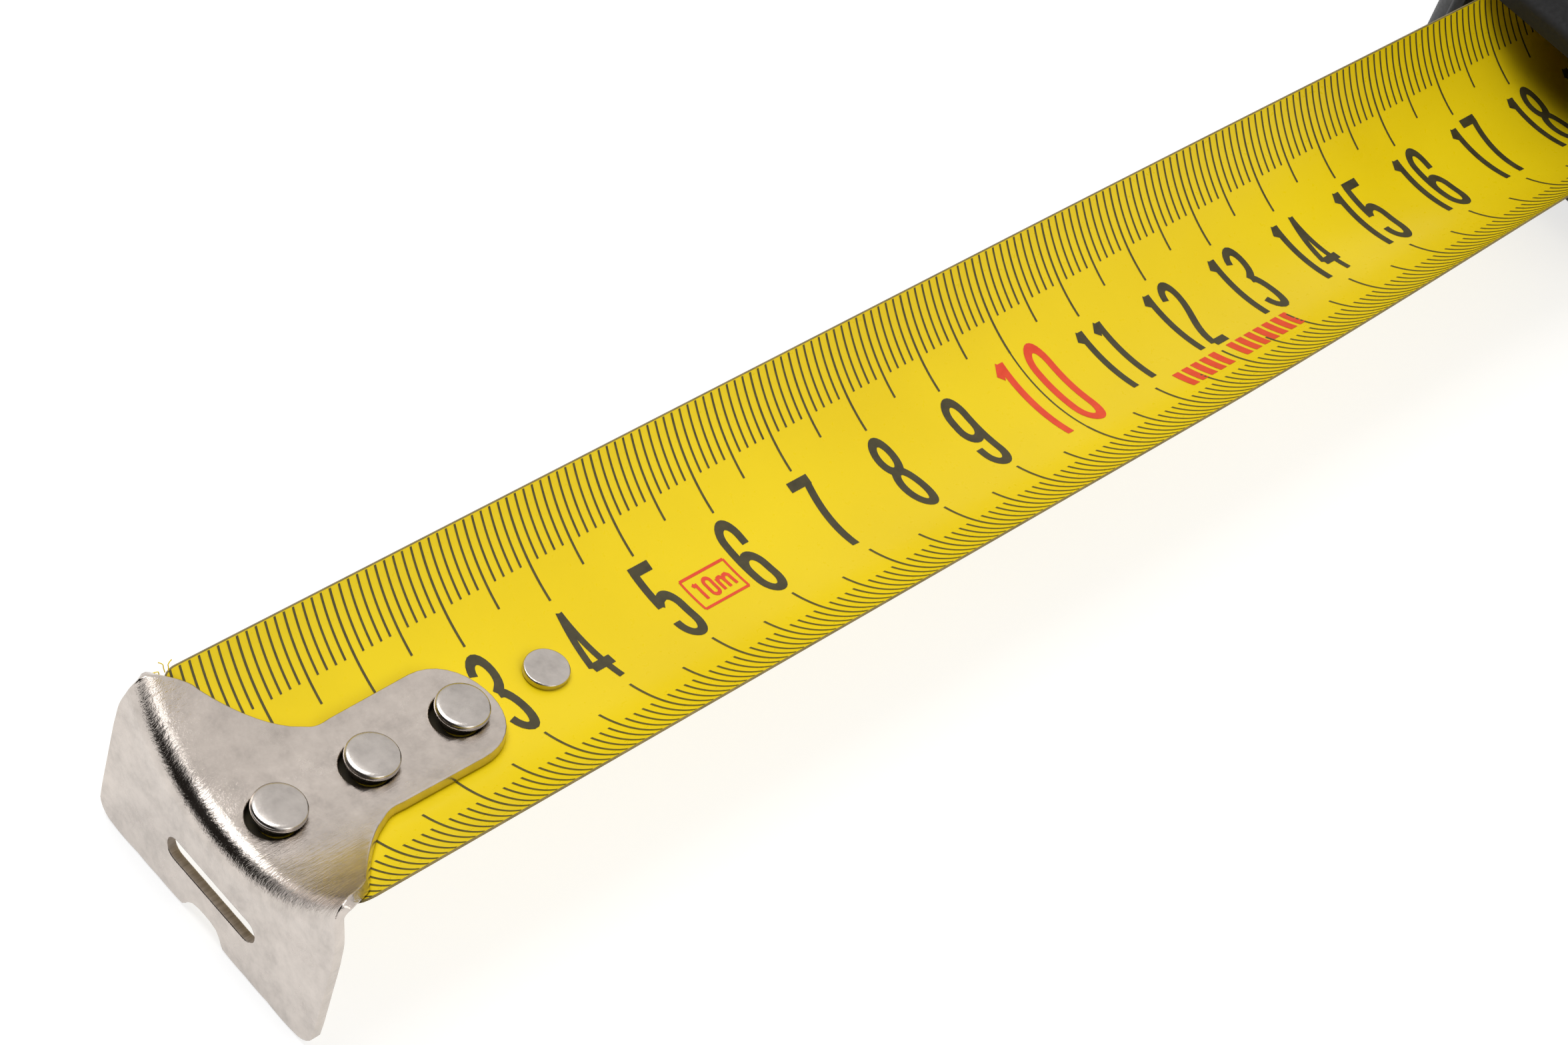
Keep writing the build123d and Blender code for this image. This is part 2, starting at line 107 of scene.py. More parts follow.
def new_mat(name):
    m = bpy.data.materials.new(name)
    m.use_nodes = True
    tree = m.node_tree
    bsdf = next(n for n in tree.nodes if n.type == "BSDF_PRINCIPLED")
    return m, tree, bsdf


def object_coords(tree, stretch=(1, 1, 1)):
    tc = node(tree, "ShaderNodeTexCoord", -1400, 0)
    mp = node(tree, "ShaderNodeMapping", -1200, 0)
    mp.inputs["Scale"].default_value = stretch
    tree.links.new(tc.outputs["Object"], mp.inputs["Vector"])
    return mp.outputs["Vector"]


def noise(tree, vec, scale, detail=3.0, rough=0.5, y=0):
    n = node(tree, "ShaderNodeTexNoise", -1000, y)
    n.inputs["Scale"].default_value = scale
    n.inputs["Detail"].default_value = detail
    n.inputs["Roughness"].default_value = rough
    tree.links.new(vec, n.inputs["Vector"])
    return n.outputs["Fac"]


def ramp(tree, fac, stops, y=0):
    r = node(tree, "ShaderNodeValToRGB", -700, y)
    el = r.color_ramp.elements
    while len(el) < len(stops):
        el.new(0.5)
    for e, (p, c) in zip(el, stops):
        e.position = p
        e.color = c if len(c) == 4 else (*c, 1)
    tree.links.new(fac, r.inputs["Fac"])
    return r.outputs["Color"]


def spread(tree, fac, low, high, y=0, lo_in=0.3, hi_in=0.7):
    r = node(tree, "ShaderNodeMapRange", -700, y)
    r.inputs["From Min"].default_value = lo_in
    r.inputs["From Max"].default_value = hi_in
    r.inputs["To Min"].default_value = low
    r.inputs["To Max"].default_value = high
    tree.links.new(fac, r.inputs["Value"])
    return r.outputs["Result"]


def bump(tree, bsdf, height, strength, distance):
    b = node(tree, "ShaderNodeBump", -300, -400)
    b.inputs["Strength"].default_value = strength
    b.inputs["Distance"].default_value = distance
    tree.links.new(height, b.inputs["Height"])
    tree.links.new(b.outputs["Normal"], bsdf.inputs["Normal"])
    return b


def coated_yellow():
    m, t, b = new_mat("blade_yellow")
    v = object_coords(t)
    big = noise(t, v, 45, 2.0, 0.5, 300)
    fine = noise(t, v, 1400, 4.0, 0.6, 0)
    col = ramp(t, big, [(0.3, (0.80, 0.59, 0.004)), (0.7, (0.86, 0.65, 0.007))], 300)
    t.links.new(col, b.inputs["Base Color"])
    t.links.new(spread(t, fine, 0.26, 0.36, 0), b.inputs["Roughness"])
    b.inputs["Specular IOR Level"].default_value = 0.22
    b.inputs["Coat Weight"].default_value = 0.05
    b.inputs["Coat Roughness"].default_value = 0.16
    bump(t, b, fine, 0.06, 0.00004)
    return m


def ink(name, dark, light, rough):
    m, t, b = new_mat(name)
    v = object_coords(t)
    f = noise(t, v, 900, 4.0, 0.65, 200)
    t.links.new(ramp(t, f, [(0.3, dark), (0.75, light)], 200), b.inputs["Base Color"])
    t.links.new(spread(t, f, rough, rough + 0.12, -100), b.inputs["Roughness"])
    b.inputs["Specular IOR Level"].default_value = 0.4
    return m


def plated(name, base, rough, scratch=0.5, sparkle=0.35, creased=0.0):
    """Bright plated steel with fine crossing scratches and small dents, coarser where it was bent."""
    m, t, b = new_mat(name)
    v = object_coords(t)
    cloud = noise(t, v, 380, 6.0, 0.68, 500)
    darker, lighter = tuple(c * 0.8 for c in base), tuple(min(c * 1.14, 1) for c in base)
    t.links.new(ramp(t, cloud, [(0.28, darker), (0.5, base), (0.72, lighter)], 500), b.inputs["Base Color"])
    b.inputs["Metallic"].default_value = 1.0
    # crossing scratches: two noises stretched along different directions
    tc = node(t, "ShaderNodeTexCoord", -1400, -500)
    heights = []
    for i, (turn, stretch) in enumerate(((0.5, (260, 6500, 2500)), (2.2, (300, 7000, 2600)))):
        mp = node(t, "ShaderNodeMapping", -1200, -500 - 250 * i)
        mp.inputs["Rotation"].default_value = (0.2 * i, 0.3, turn)
        mp.inputs["Scale"].default_value = stretch
        t.links.new(tc.outputs["Object"], mp.inputs["Vector"])
        heights.append(noise(t, mp.outputs["Vector"], 1.0, 3.0, 0.7, -500 - 250 * i))
    scratches = node(t, "ShaderNodeMath", -760, -560, operation="ADD")
    t.links.new(heights[0], scratches.inputs[0])
    t.links.new(heights[1], scratches.inputs[1])
    grit = noise(t, v, 4200, 4.0, 0.75, -250)
    relief = node(t, "ShaderNodeMath", -560, -500, operation="MULTIPLY_ADD")
    t.links.new(grit, relief.inputs[0])
    relief.inputs[1].default_value = sparkle * 3
    t.links.new(scratches.outputs[0], relief.inputs[2])
    patches = noise(t, v, 320, 4.0, 0.65, 100)
    roughness = spread(t, patches, rough, rough + 0.16, 100)
    t.links.new(roughness, b.inputs["Roughness"])
    dent = bump(t, b, relief.outputs[0], 0.3 * scratch, 0.00004)
    if creased:
        att = node(t, "ShaderNodeAttribute", -1000, -900, attribute_name="crease")
        strength = spread(t, att.outputs["Fac"], 0.3 * scratch, creased, -900, 0.0, 1.0)
        t.links.new(strength, dent.inputs["Strength"])
        # short streaks across the bend, where the plating stretched
        streaks = noise(t, object_coords(t, (1100, 3400, 1100)), 1.0, 3.0, 0.75, -1100)
        stretched = node(t, "ShaderNodeMath", -500, -900, operation="MULTIPLY")
        t.links.new(streaks, stretched.inputs[0])
        t.links.new(spread(t, att.outputs["Fac"], 0.0, 5.0, -1000, 0.0, 1.0), stretched.inputs[1])
        total = node(t, "ShaderNodeMath", -400, -700, operation="ADD")
        t.links.new(relief.outputs[0], total.inputs[0])
        t.links.new(stretched.outputs[0], total.inputs[1])
        t.links.new(total.outputs[0], dent.inputs["Height"])
        polish = node(t, "ShaderNodeMath", -400, 100, operation="MULTIPLY_ADD")
        t.links.new(att.outputs["Fac"], polish.inputs[0])
        polish.inputs[1].default_value = -0.09
        t.links.new(roughness, polish.inputs[2])
        t.links.new(polish.outputs[0], b.inputs["Roughness"])
    return m


def sheared(name, dark, light):
    """Punched edge of a plate: dull, with fine lines through the thickness."""
    m, t, b = new_mat(name)
    lines = noise(t, object_coords(t, (250, 3600, 250)), 1.0, 3.0, 0.65, 200)
    t.links.new(ramp(t, lines, [(0.3, dark), (0.7, light)], 200), b.inputs["Base Color"])
    t.links.new(spread(t, lines, 0.5, 0.65, -100), b.inputs["Roughness"])
    b.inputs["Metallic"].default_value = 0.3
    bump(t, b, lines, 0.5, 0.00004)
    return m


def moulded(name, base, rough, scale, strength, dist, spec=0.5, tint=1.25):
    """Moulded plastic or rubber: fine grain, slight cloudiness."""
    m, t, b = new_mat(name)
    v = object_coords(t)
    cloud = noise(t, v, 60, 3.0, 0.5, 300)
    lighter = tuple(c * tint for c in base)
    t.links.new(ramp(t, cloud, [(0.3, base), (0.7, lighter)], 300), b.inputs["Base Color"])
    grain = node(t, "ShaderNodeTexVoronoi", -1000, -300)
    grain.inputs["Scale"].default_value = scale
    t.links.new(v, grain.inputs["Vector"])
    fine = noise(t, v, scale * 1.7, 3.0, 0.6, 0)
    t.links.new(spread(t, fine, rough - 0.06, rough + 0.1, 0), b.inputs["Roughness"])
    b.inputs["Specular IOR Level"].default_value = spec
    bump(t, b, grain.outputs["Distance"], strength, dist)
    return m


M_YELLOW = coated_yellow()
M_INK = ink("ink_black", (0.036, 0.030, 0.010), (0.070, 0.058, 0.020), 0.42)
M_TICK = ink("ink_tick", (0.060, 0.050, 0.012), (0.105, 0.086, 0.020), 0.42)
M_RED = ink("ink_red", (0.70, 0.045, 0.012), (0.80, 0.075, 0.020), 0.42)
M_EDGE = ink("blade_edge", (0.16, 0.125, 0.04), (0.28, 0.21, 0.07), 0.45)
M_BACK = moulded("blade_back", (0.50, 0.37, 0.01), 0.42, 900, 0.05, 0.00003)
M_HOOK = plated("hook_nickel", (0.565, 0.51, 0.465), 0.15, 0.8, 0.4, 0.42)
M_CUT = sheared("hook_cut_edge", (0.22, 0.18, 0.145), (0.40, 0.335, 0.28))
M_RIVET = plated("rivet_bright", (0.50, 0.465, 0.435), 0.14, 0.35, 0.15)
M_STEEL = plated("spring_steel", (0.34, 0.35, 0.37), 0.3, 0.5, 0.2)
M_CLIP = plated("clip_steel", (0.5, 0.49, 0.48), 0.28, 0.6, 0.2)
M_CASE = moulded("case_plastic", (0.032, 0.033, 0.036), 0.5, 1500, 0.35, 0.00006)
M_RUBBER = moulded("soft_rubber", (0.014, 0.014, 0.015), 0.72, 1100, 0.4, 0.00008, 0.35)
M_DRUM = moulded("drum_plastic", (0.06, 0.06, 0.065), 0.45, 1200, 0.2, 0.00005)
M_DISC = moulded("disc_plastic", (0.70, 0.50, 0.012), 0.3, 1300, 0.12, 0.00004, 0.5, 1.1)

BY_SLOT = {
    "case_plastic": M_CASE,
    "rubber": M_RUBBER,
    "blade_coat": M_YELLOW,
    "nickel": M_CLIP,
    "rivet_steel": M_RIVET,
    "spring_steel": M_STEEL,
    "drum_plastic": M_DRUM,
    "disc": M_DISC,
}
SLOT_OF = {s["node"]: s["material_slot"] for s in frame["record"]["subparts"]}
for name, obj in frame["nodes"].items():
    obj.data.materials.clear()
    obj.data.materials.append(BY_SLOT[SLOT_OF[name]])
    for p in obj.data.polygons:
        p.material_index = 0


# ---------------------------------------------------------------- mesh helpers
def make_object(name, verts, faces, mats, face_mats=None, smooth=True):
    me = bpy.data.meshes.new(name)
    me.from_pydata(verts, [], faces)
    me.update()
    for m in mats:
        me.materials.append(m)
    if face_mats:
        for p, i in zip(me.polygons, face_mats):
            p.material_index = i
    for p in me.polygons:
        p.use_smooth = smooth
    ob = bpy.data.objects.new(name, me)
    bpy.context.scene.collection.objects.link(ob)
    return ob


def sharpen(bm, angle):
    """Creases where two faces meet at more than the angle."""
    for e in bm.edges:
        if len(e.link_faces) == 2 and e.calc_face_angle(0) > angle:
            e.smooth = False


def shorten(ob):
    """Ties the blade or its print to the case and gives it its own mesh; on_blade already built it closing up
    towards the mouth.
    """
    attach(ob, "case")
    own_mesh(ob)


# ---------------------------------------------------------------- blade
ACROSS = 48  # faces across the printed side, between the two bare edges
EDGE = 0.09  # width of the bare steel edge
CORNER = 1.6  # radius of the corners at the hook end
FINE, COARSE = 0.35, 2.0  # steps along the blade, at the corners and after them


def half_width(x):
    d = x - BLADE_START
    if d >= CORNER:
        return BLADE_HALF
    return BLADE_HALF - CORNER + math.sqrt(max(CORNER**2 - (CORNER - d) ** 2, 0.0))


def blade_mesh():
    xs = [BLADE_START + i * FINE for i in range(9)]
    x = xs[-1]
    while x < BLADE_INNER - COARSE:
        x += COARSE
        xs.append(x)
    xs[-1] = BLADE_INNER
    verts, faces, mats = [], [], []
    for x in xs:
        h = half_width(x)
        inner = [-h + EDGE + (2 * h - 2 * EDGE) * j / ACROSS for j in range(1, ACROSS)]
        stations = [-h, -h + EDGE] + inner + [h - EDGE, h]
        for lift in (0.0, -BLADE_T):
            for s in stations:
                verts.append(on_blade(x, s, lift))
    n = ACROSS + 3
    row = 2 * n
    for i in range(len(xs) - 1):
        a, b = i * row, (i + 1) * row
        for j in range(n - 1):
            faces.append((a + j, b + j, b + j + 1, a + j + 1))
            mats.append(1 if j in (0, n - 2) else 0)
            faces.append((a + n + j, a + n + j + 1, b + n + j + 1, b + n + j))
            mats.append(2)
        faces.append((a, a + n, b + n, b))
        mats.append(1)
        faces.append((a + n - 1, b + n - 1, b + 2 * n - 1, a + 2 * n - 1))
        mats.append(1)
    for first, flip in ((0, False), ((len(xs) - 1) * row, True)):
        for j in range(n - 1):
            f = (first + j, first + j + 1, first + n + j + 1, first + n + j)
            faces.append(f if not flip else f[::-1])
            mats.append(1)
    return make_object("blade_visual", verts, faces, [M_YELLOW, M_EDGE, M_BACK], mats)


blade = blade_mesh()
bm = bmesh.new()
bm.from_mesh(blade.data)
bmesh.ops.recalc_face_normals(bm, faces=bm.faces)
sharpen(bm, 0.6)
bm.to_mesh(blade.data)
bm.free()
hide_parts("blade_strip")
shorten(blade)

# ---------------------------------------------------------------- print
LIFT = 0.03  # print above the coating


def strip(verts, faces, path, widths):
    """Ribbon on the blade along path [(x, s)], with the half width of each point in x and in s."""
    k = widths[1] / widths[0]
    pts = []
    for a, b in zip(path[:-1], path[1:]):
        length = math.hypot(b[0] - a[0], b[1] - a[1])
        cuts = max(1, int(length / 0.45))
        for c in range(cuts):
            pts.append((a[0] + (b[0] - a[0]) * c / cuts, a[1] + (b[1] - a[1]) * c / cuts))
    closed = math.hypot(path[0][0] - path[-1][0], path[0][1] - path[-1][1]) < 1e-6
    if not closed:
        pts.append(path[-1])
    n = len(pts)
    start = len(verts)
    for i, (x, s) in enumerate(pts):
        if closed:
            p, q = pts[i - 1], pts[(i + 1) % n]
        else:
            p, q = pts[max(i - 1, 0)], pts[min(i + 1, n - 1)]
        dx, ds = (q[0] - p[0]) * k, q[1] - p[1]
        length = math.hypot(dx, ds) or 1.0
        nx, ns = -ds / length, dx / length
        # keep the width through a corner
        grow = 1.0
        if 0 < i < n - 1 or closed:
            came_x, came_s = (x - p[0]) * k, s - p[1]
            came = math.hypot(came_x, came_s) or 1.0
            along = abs((-came_s / came) * nx + (came_x / came) * ns)
            grow = min(1.0 / max(along, 0.5), 1.6)
        half_x, half_s = nx * widths[1] / k * grow, ns * widths[1] * grow
        verts.append(on_blade(x + half_x, s + half_s, LIFT))
        verts.append(on_blade(x - half_x, s - half_s, LIFT))
    last = n if closed else n - 1
    for i in range(last):
        a = start + 2 * i
        b = start + 2 * ((i + 1) % n)
        faces.append((a, b, b + 1, a + 1))


def arc(cx, cy, rx, ry, a0, a1, steps=14):
    out = []
    for i in range(steps + 1):
        a = math.radians(a0 + (a1 - a0) * i / steps)
        out.append((cx + rx * math.cos(a), cy + ry * math.sin(a)))
    return out


def bez(p0, p1, p2, p3, steps=12):
    out = []
    for i in range(steps + 1):
        t = i / steps
        u = 1 - t
        share = (u**3, 3 * u * u * t, 3 * u * t * t, t**3)
        out.append(tuple(sum(k * v for k, v in zip(share, axis)) for axis in zip(p0, p1, p2, p3)))
    return out


# strokes of each figure in a box one wide and one high
SIX = [(1, 0.69), (1, 0.79)] + arc(0.5, 0.79, 0.5, 0.21, 0, 180) + [(0, 0.79), (0, 0.22)]
SIX += arc(0.5, 0.22, 0.5, 0.22, 180, 360) + [(1, 0.36)] + arc(0.5, 0.36, 0.5, 0.19, 0, 180)
ZERO = arc(0.5, 0.77, 0.5, 0.23, 0, 180) + arc(0.5, 0.23, 0.5, 0.23, 180, 360)
ZERO.append(ZERO[0])
GLYPHS = {
    "0": [ZERO],
    "1": [[(0.06, 0.86), (0.45, 0.985)], [(0.55, 1.0), (0.55, 0.0)]],
    "2": [
        arc(0.5, 0.79, 0.5, 0.21, 172, 0) + bez((1, 0.79), (1, 0.52), (0.12, 0.36), (0.02, 0.0)),
        [(0.02, 0.0), (1.02, 0.0)],
    ],
    "3": [
        arc(0.5, 0.79, 0.5, 0.21, 168, -62) + [(0.45, 0.545)],
        [(0.45, 0.545)] + arc(0.5, 0.275, 0.5, 0.275, 72, -165),
    ],
    "4": [[(0.55, 1.0), (-0.02, 0.26)], [(0.55, 1.0), (0.74, 0.0)], [(-0.02, 0.26), (1.1, 0.26)]],
    "5": [
        [(1.05, 1.0), (-0.2, 1.0)],
        [(0.0, 1.0), (0.0, 0.50)],
        [(0.0, 0.52), (0.2, 0.59)] + arc(0.52, 0.42, 0.48, 0.2, 108, 0) + [(1, 0.22)]
        + arc(0.5, 0.22, 0.5, 0.22, 0, -180) + [(0.0, 0.26)],
    ],
    "6": [SIX],
    "7": [[(-0.15, 1.0), (1.18, 1.0)], bez((0.98, 0.99), (0.72, 0.72), (0.42, 0.4), (0.38, 0.0))],
    "8": [
        arc(0.5, 0.785, 0.46, 0.215, -90, 270, 30),
        arc(0.5, 0.285, 0.5, 0.285, 90, 450, 34),
    ],
    "9": [[(1 - a, 1 - b) for a, b in SIX]],
    "m": [
        [(0.0, 0.0), (0.0, 0.72)],
        [(0.0, 0.55), (0.12, 0.7), (0.3, 0.72), (0.45, 0.6), (0.48, 0.0)],
        [(0.48, 0.55), (0.62, 0.7), (0.8, 0.72), (0.95, 0.6), (1.0, 0.0)],
    ],
}


def glyph(verts, faces, char, x0, s0, width, height, tx, ts):
    """Figure centred on (x0, s0), with strokes tx thick along the blade and ts across it."""
    if char == "4":
        tx *= 0.82
    for path in GLYPHS[char]:
        pts = [(x0 + (a - 0.5) * (width - tx), s0 + (b - 0.5) * (height - ts)) for a, b in path]
        clean = [pts[0]]
        for q in pts[1:]:
            if math.hypot(q[0] - clean[-1][0], q[1] - clean[-1][1]) > 1e-4:
                clean.append(q)
        strip(verts, faces, clean, (tx / 2, ts / 2))


def line_across(verts, faces, x, half, start, end, pieces):
    """Printed line round the trough at x, from start to end mm off the centre line."""
    first = len(verts)
    for i in range(pieces + 1):
        s = start + (end - start) * i / pieces
        verts.append(on_blade(x - half, s, LIFT))
        verts.append(on_blade(x + half, s, LIFT))
    for i in range(pieces):
        a = first + 2 * i
        faces.append((a, a + 1, a + 3, a + 2))


CM_LINE, HALF_CM_LINE, MM_LINE = (5.6, 0.125), (7.1, 0.12), (9.45, 0.115)  # inner end, half width
LINE_END = BLADE_HALF - 0.16
LAST_MM = 196
tick_v, tick_f = [], []
for mm in range(2, LAST_MM + 1):
    inner, half = CM_LINE if mm % 10 == 0 else HALF_CM_LINE if mm % 5 == 0 else MM_LINE
    for side in (1, -1):
        line_across(tick_v, tick_f, mm, half, side * inner, side * LINE_END, 18)
# thin line on through the decimetre
line_across(tick_v, tick_f, RED_CM * 10, 0.09, -CM_LINE[0], CM_LINE[0], 28)
ticks = make_object("printed_ticks", tick_v, tick_f, [M_TICK])

num_v, num_f, red_v, red_f = [], [], [], []
for cm in range(1, LAST_MM // 10 + 1):
    text = str(cm)
    if cm == RED_CM:
        glyph(red_v, red_f, "1", 98.05, 0.0, 2.7, 11.6, 0.80, 1.15)
        glyph(red_v, red_f, "0", 102.35, 0.0, 2.85, 11.4, 0.80, 1.15)
    elif len(text) == 1:
        glyph(num_v, num_f, text, cm * 10.0 - 0.1, 0.0, 2.7, 9.5, 0.80, 1.06)
    else:
        glyph(num_v, num_f, text[0], cm * 10.0 - 1.25, 0.0, 2.0, 9.4, 0.76, 1.0)
        glyph(num_v, num_f, text[1], cm * 10.0 + 1.35, 0.0, 2.5, 9.4, 0.76, 1.0)
numbers = make_object("printed_numbers", num_v, num_f, [M_INK])

# framed length mark between the 5 and the 6
left, right, top, bottom = 52.3, 57.7, 1.35, -2.35
frame_line = [(left, top), (right, top), (right, bottom), (left, bottom), (left, top)]
for a, b in zip(frame_line[:-1], frame_line[1:]):
    strip(red_v, red_f, [a, b], (0.12, 0.15))
for char, x, width in (("1", 53.4, 1.1), ("0", 54.65, 1.1), ("m", 56.3, 1.75)):
    glyph(red_v, red_f, char, x, -0.5, width, 2.45, 0.33, 0.42)
# two groups of plain dashes in the lower margin
DASH_FROM, DASH_PITCH, DASH_HALF, DASH_GAP = 113.35, 1.36, 0.46, 5
for i in range(13):
    if i != DASH_GAP:
        x = DASH_FROM + i * DASH_PITCH
        strip(red_v, red_f, [(x, -5.2), (x, -8.1)], (DASH_HALF, DASH_HALF))
reds = make_object("printed_reds", red_v, red_f, [M_RED])

for ob in (ticks, numbers, reds):
    bm = bmesh.new()
    bm.from_mesh(ob.data)
    bmesh.ops.recalc_face_normals(bm, faces=bm.faces)
    flip = [f for f in bm.faces if f.normal.z < 0]
    bmesh.ops.reverse_faces(bm, faces=flip)
    bm.to_mesh(ob.data)
    bm.free()
    shorten(ob)

# ---------------------------------------------------------------- end hook
HOOK_RM = TROUGH_R - 0.1 - HOOK_T / 2  # radius of the plate's middle, 0.1 mm above the blade
BEND = 1.75  # radius of the bend, at the plate's middle
BEND_X = HOOK_X - HOOK_T / 2 + BEND  # where the bend starts
BEND_L = BEND * math.pi / 2  # its length in the flat
SIDE = 16.6  # half width of the flat plate
FLARE, FLARE_DEPTH = 0.055, 5.0  # how much wider the face gets, and how far down
ROLL = 0.16  # rolled edge of the plate


def surf_z(s):
    return AXIS_Z - HOOK_RM * math.cos(s / HOOK_RM)


def face_spread(depth):
    return 1.0 + FLARE * eased(min(max(depth / FLARE_DEPTH, 0.0), 1.0))


def fold(q, s, n):
    """Flat pattern to formed plate: q along the hook, s round the trough, n through the thickness."""
    a = s / HOOK_RM
    if q >= BEND_X:
        r = HOOK_RM - n
        return (q * MM, r * math.sin(a) * MM, (AXIS_Z - r * math.cos(a)) * MM)
    d = BEND_X - q
    if d <= BEND_L:
        th = d / BEND
        x = BEND_X - BEND * math.sin(th) - n * math.sin(th)
        r = HOOK_RM - n * math.cos(th)
        k = face_spread(d - BEND_L * 0.5)
        y = r * math.sin(a) * k
        z = AXIS_Z - r * math.cos(a) - BEND * (1 - math.cos(th))
        return (x * MM, y * MM, z * MM)
    depth = d - BEND_L
    k = face_spread(d - BEND_L * 0.5)
    return (
        (BEND_X - BEND - n) * MM,
        HOOK_RM * math.sin(a) * k * MM,
        (surf_z(s) - BEND - depth) * MM,
    )


def face_point(y, z):
    """Flat-pattern place of a point on the face plate, given as the formed y and z."""
    k = 1.0 + FLARE
    for _ in range(8):
        s = HOOK_RM * math.asin(max(-0.999, min(0.999, y / (HOOK_RM * k))))
        depth = surf_z(s) - BEND - z
        k = face_spread(depth + BEND_L * 0.5)
    return (BEND_X - BEND_L - depth, s)


def densify(points, step=0.35):
    out = []
    for a, b in zip(points, points[1:] + points[:1]):
        length = math.hypot(b[0] - a[0], b[1] - a[1])
        cuts = max(1, int(length / step))
        for c in range(cuts):
            out.append((a[0] + (b[0] - a[0]) * c / cuts, a[1] + (b[1] - a[1]) * c / cuts))
    return out


def hook_outline():
    hx = HOOK_X
    tongue_x, tongue_r = hx + 23.1, 5.5
    half = [(tongue_x + tongue_r, 0.0)]
    for a in range(10, 91, 10):
        t = math.radians(a)
        half.append((tongue_x + tongue_r * math.cos(t), tongue_r * math.sin(t)))
    half += bez((hx + 14.4, 5.4), (hx + 13.5, 5.3), (hx + 13.0, 5.3), (hx + 12.4, 5.55), 5)
    half += bez((hx + 10.8, 6.4), (hx + 8.6, 7.8), (hx + 6.4, 10.4), (hx + 4.7, 12.7), 8)
    half += bez((hx + 4.1, 13.6), (hx + 3.2, 14.6), (hx + 2.2, 15.2), (hx + 1.2, 15.9), 6)
    half += [(hx + 0.5, SIDE - 0.25), (hx - 0.1, SIDE), (BEND_X - BEND_L, SIDE)]
    # face plate down the side, rounded lower corner, bottom edge, notch
    yb, zb, corner = 14.85, HOOK_LOW + 0.03, 2.2
    face = [(yb, z) for z in (12.0, 9.0, 6.0, 3.6)]
    for a in range(15, 91, 15):
        t = math.radians(a)
        face.append((yb - corner + corner * math.cos(t), zb + corner - corner * math.sin(t)))
    face += [(9.0, zb), (6.0, zb), (3.6, zb), (2.8, zb + 0.06), (2.5, zb + 0.4), (2.2, zb + 0.9)]
    face += [(1.6, zb + 1.45), (0.8, zb + 1.66), (0.0, zb + 1.7)]
    half += [face_point(y, z) for y, z in face]
    other = [(q, -s) for q, s in half[1:-1]]
    return densify(half + other[::-1])


def flat_plate(name, outline, holes, thick, roll):
    """Flat plate with rolled edges: a filled 2D curve made into a mesh."""
    cu = bpy.data.curves.new(name, "CURVE")
    cu.dimensions = "2D"
    cu.fill_mode = "BOTH"
    cu.extrude = thick / 2 - roll
    cu.bevel_depth = roll
    cu.bevel_resolution = 2
    cu.offset = -roll
    for loop in [outline] + holes:
        sp = cu.splines.new("POLY")
        sp.points.add(len(loop) - 1)
        for p, (q, s) in zip(sp.points, loop):
            p.co = (q, s, 0, 1)
        sp.use_cyclic_u = True
    tmp = bpy.data.objects.new(name, cu)
    bpy.context.scene.collection.objects.link(tmp)
    bpy.context.view_layer.update()
    me = bpy.data.meshes.new_from_object(tmp)
    bpy.data.objects.remove(tmp)
    bpy.data.curves.remove(cu)
    return me


def ring(cx, cy, r, n=40):
    return [(cx + r * math.cos(2 * math.pi * i / n), cy + r * math.sin(2 * math.pi * i / n)) for i in range(n)]


# nail slot in the face plate
SLOT_R, SLOT_END, SLOT_Z = 1.2, 4.8, 5.55
slot_pts = []
for side in (1, -1):
    for i in range(13):
        a = math.radians(side * (-90 + 15 * i))
        slot_pts.append((side * (SLOT_END + SLOT_R * math.cos(a)), SLOT_Z + SLOT_R * math.sin(a)))
    for y in (3.2, 1.6, 0.0, -1.6, -3.2):
        slot_pts.append((side * y, SLOT_Z + side * SLOT_R))
holes = [densify([face_point(y, z) for y, z in slot_pts], 0.3)]
for x in RIVET_X:
    holes.append(ring(HOOK_X + x - 0.5, -0.12, 2.5))
plate = flat_plate("end_hook_flat", hook_outline(), holes, HOOK_T, ROLL)
bm = bmesh.new()
bm.from_mesh(plate)
bmesh.ops.remove_doubles(bm, verts=bm.verts, dist=0.002)
cuts = [BEND_X - BEND_L * i / 10 for i in range(11)]
cuts += [BEND_X + 1.2 * i for i in range(1, 24)] + [BEND_X - BEND_L - 0.9 * i for i in range(1, 19)]
planes = [((q, 0, 0), (1, 0, 0)) for q in cuts] + [((0, i * 0.62, 0), (0, 1, 0)) for i in range(-27, 28)]
for place, facing in planes:
    everything = bm.verts[:] + bm.edges[:] + bm.faces[:]
    bmesh.ops.bisect_plane(bm, geom=everything, dist=1e-5, plane_co=place, plane_no=facing)
bm.normal_update()
# the slot's walls are bare cut metal
slot_q = face_point(0.0, SLOT_Z)[0]
for f in bm.faces:
    centre = f.calc_center_median()
    if abs(f.normal.z) < 0.3 and abs(centre.x - slot_q) < 2.0 and abs(centre.y) < 7.5:
        f.material_index = 1
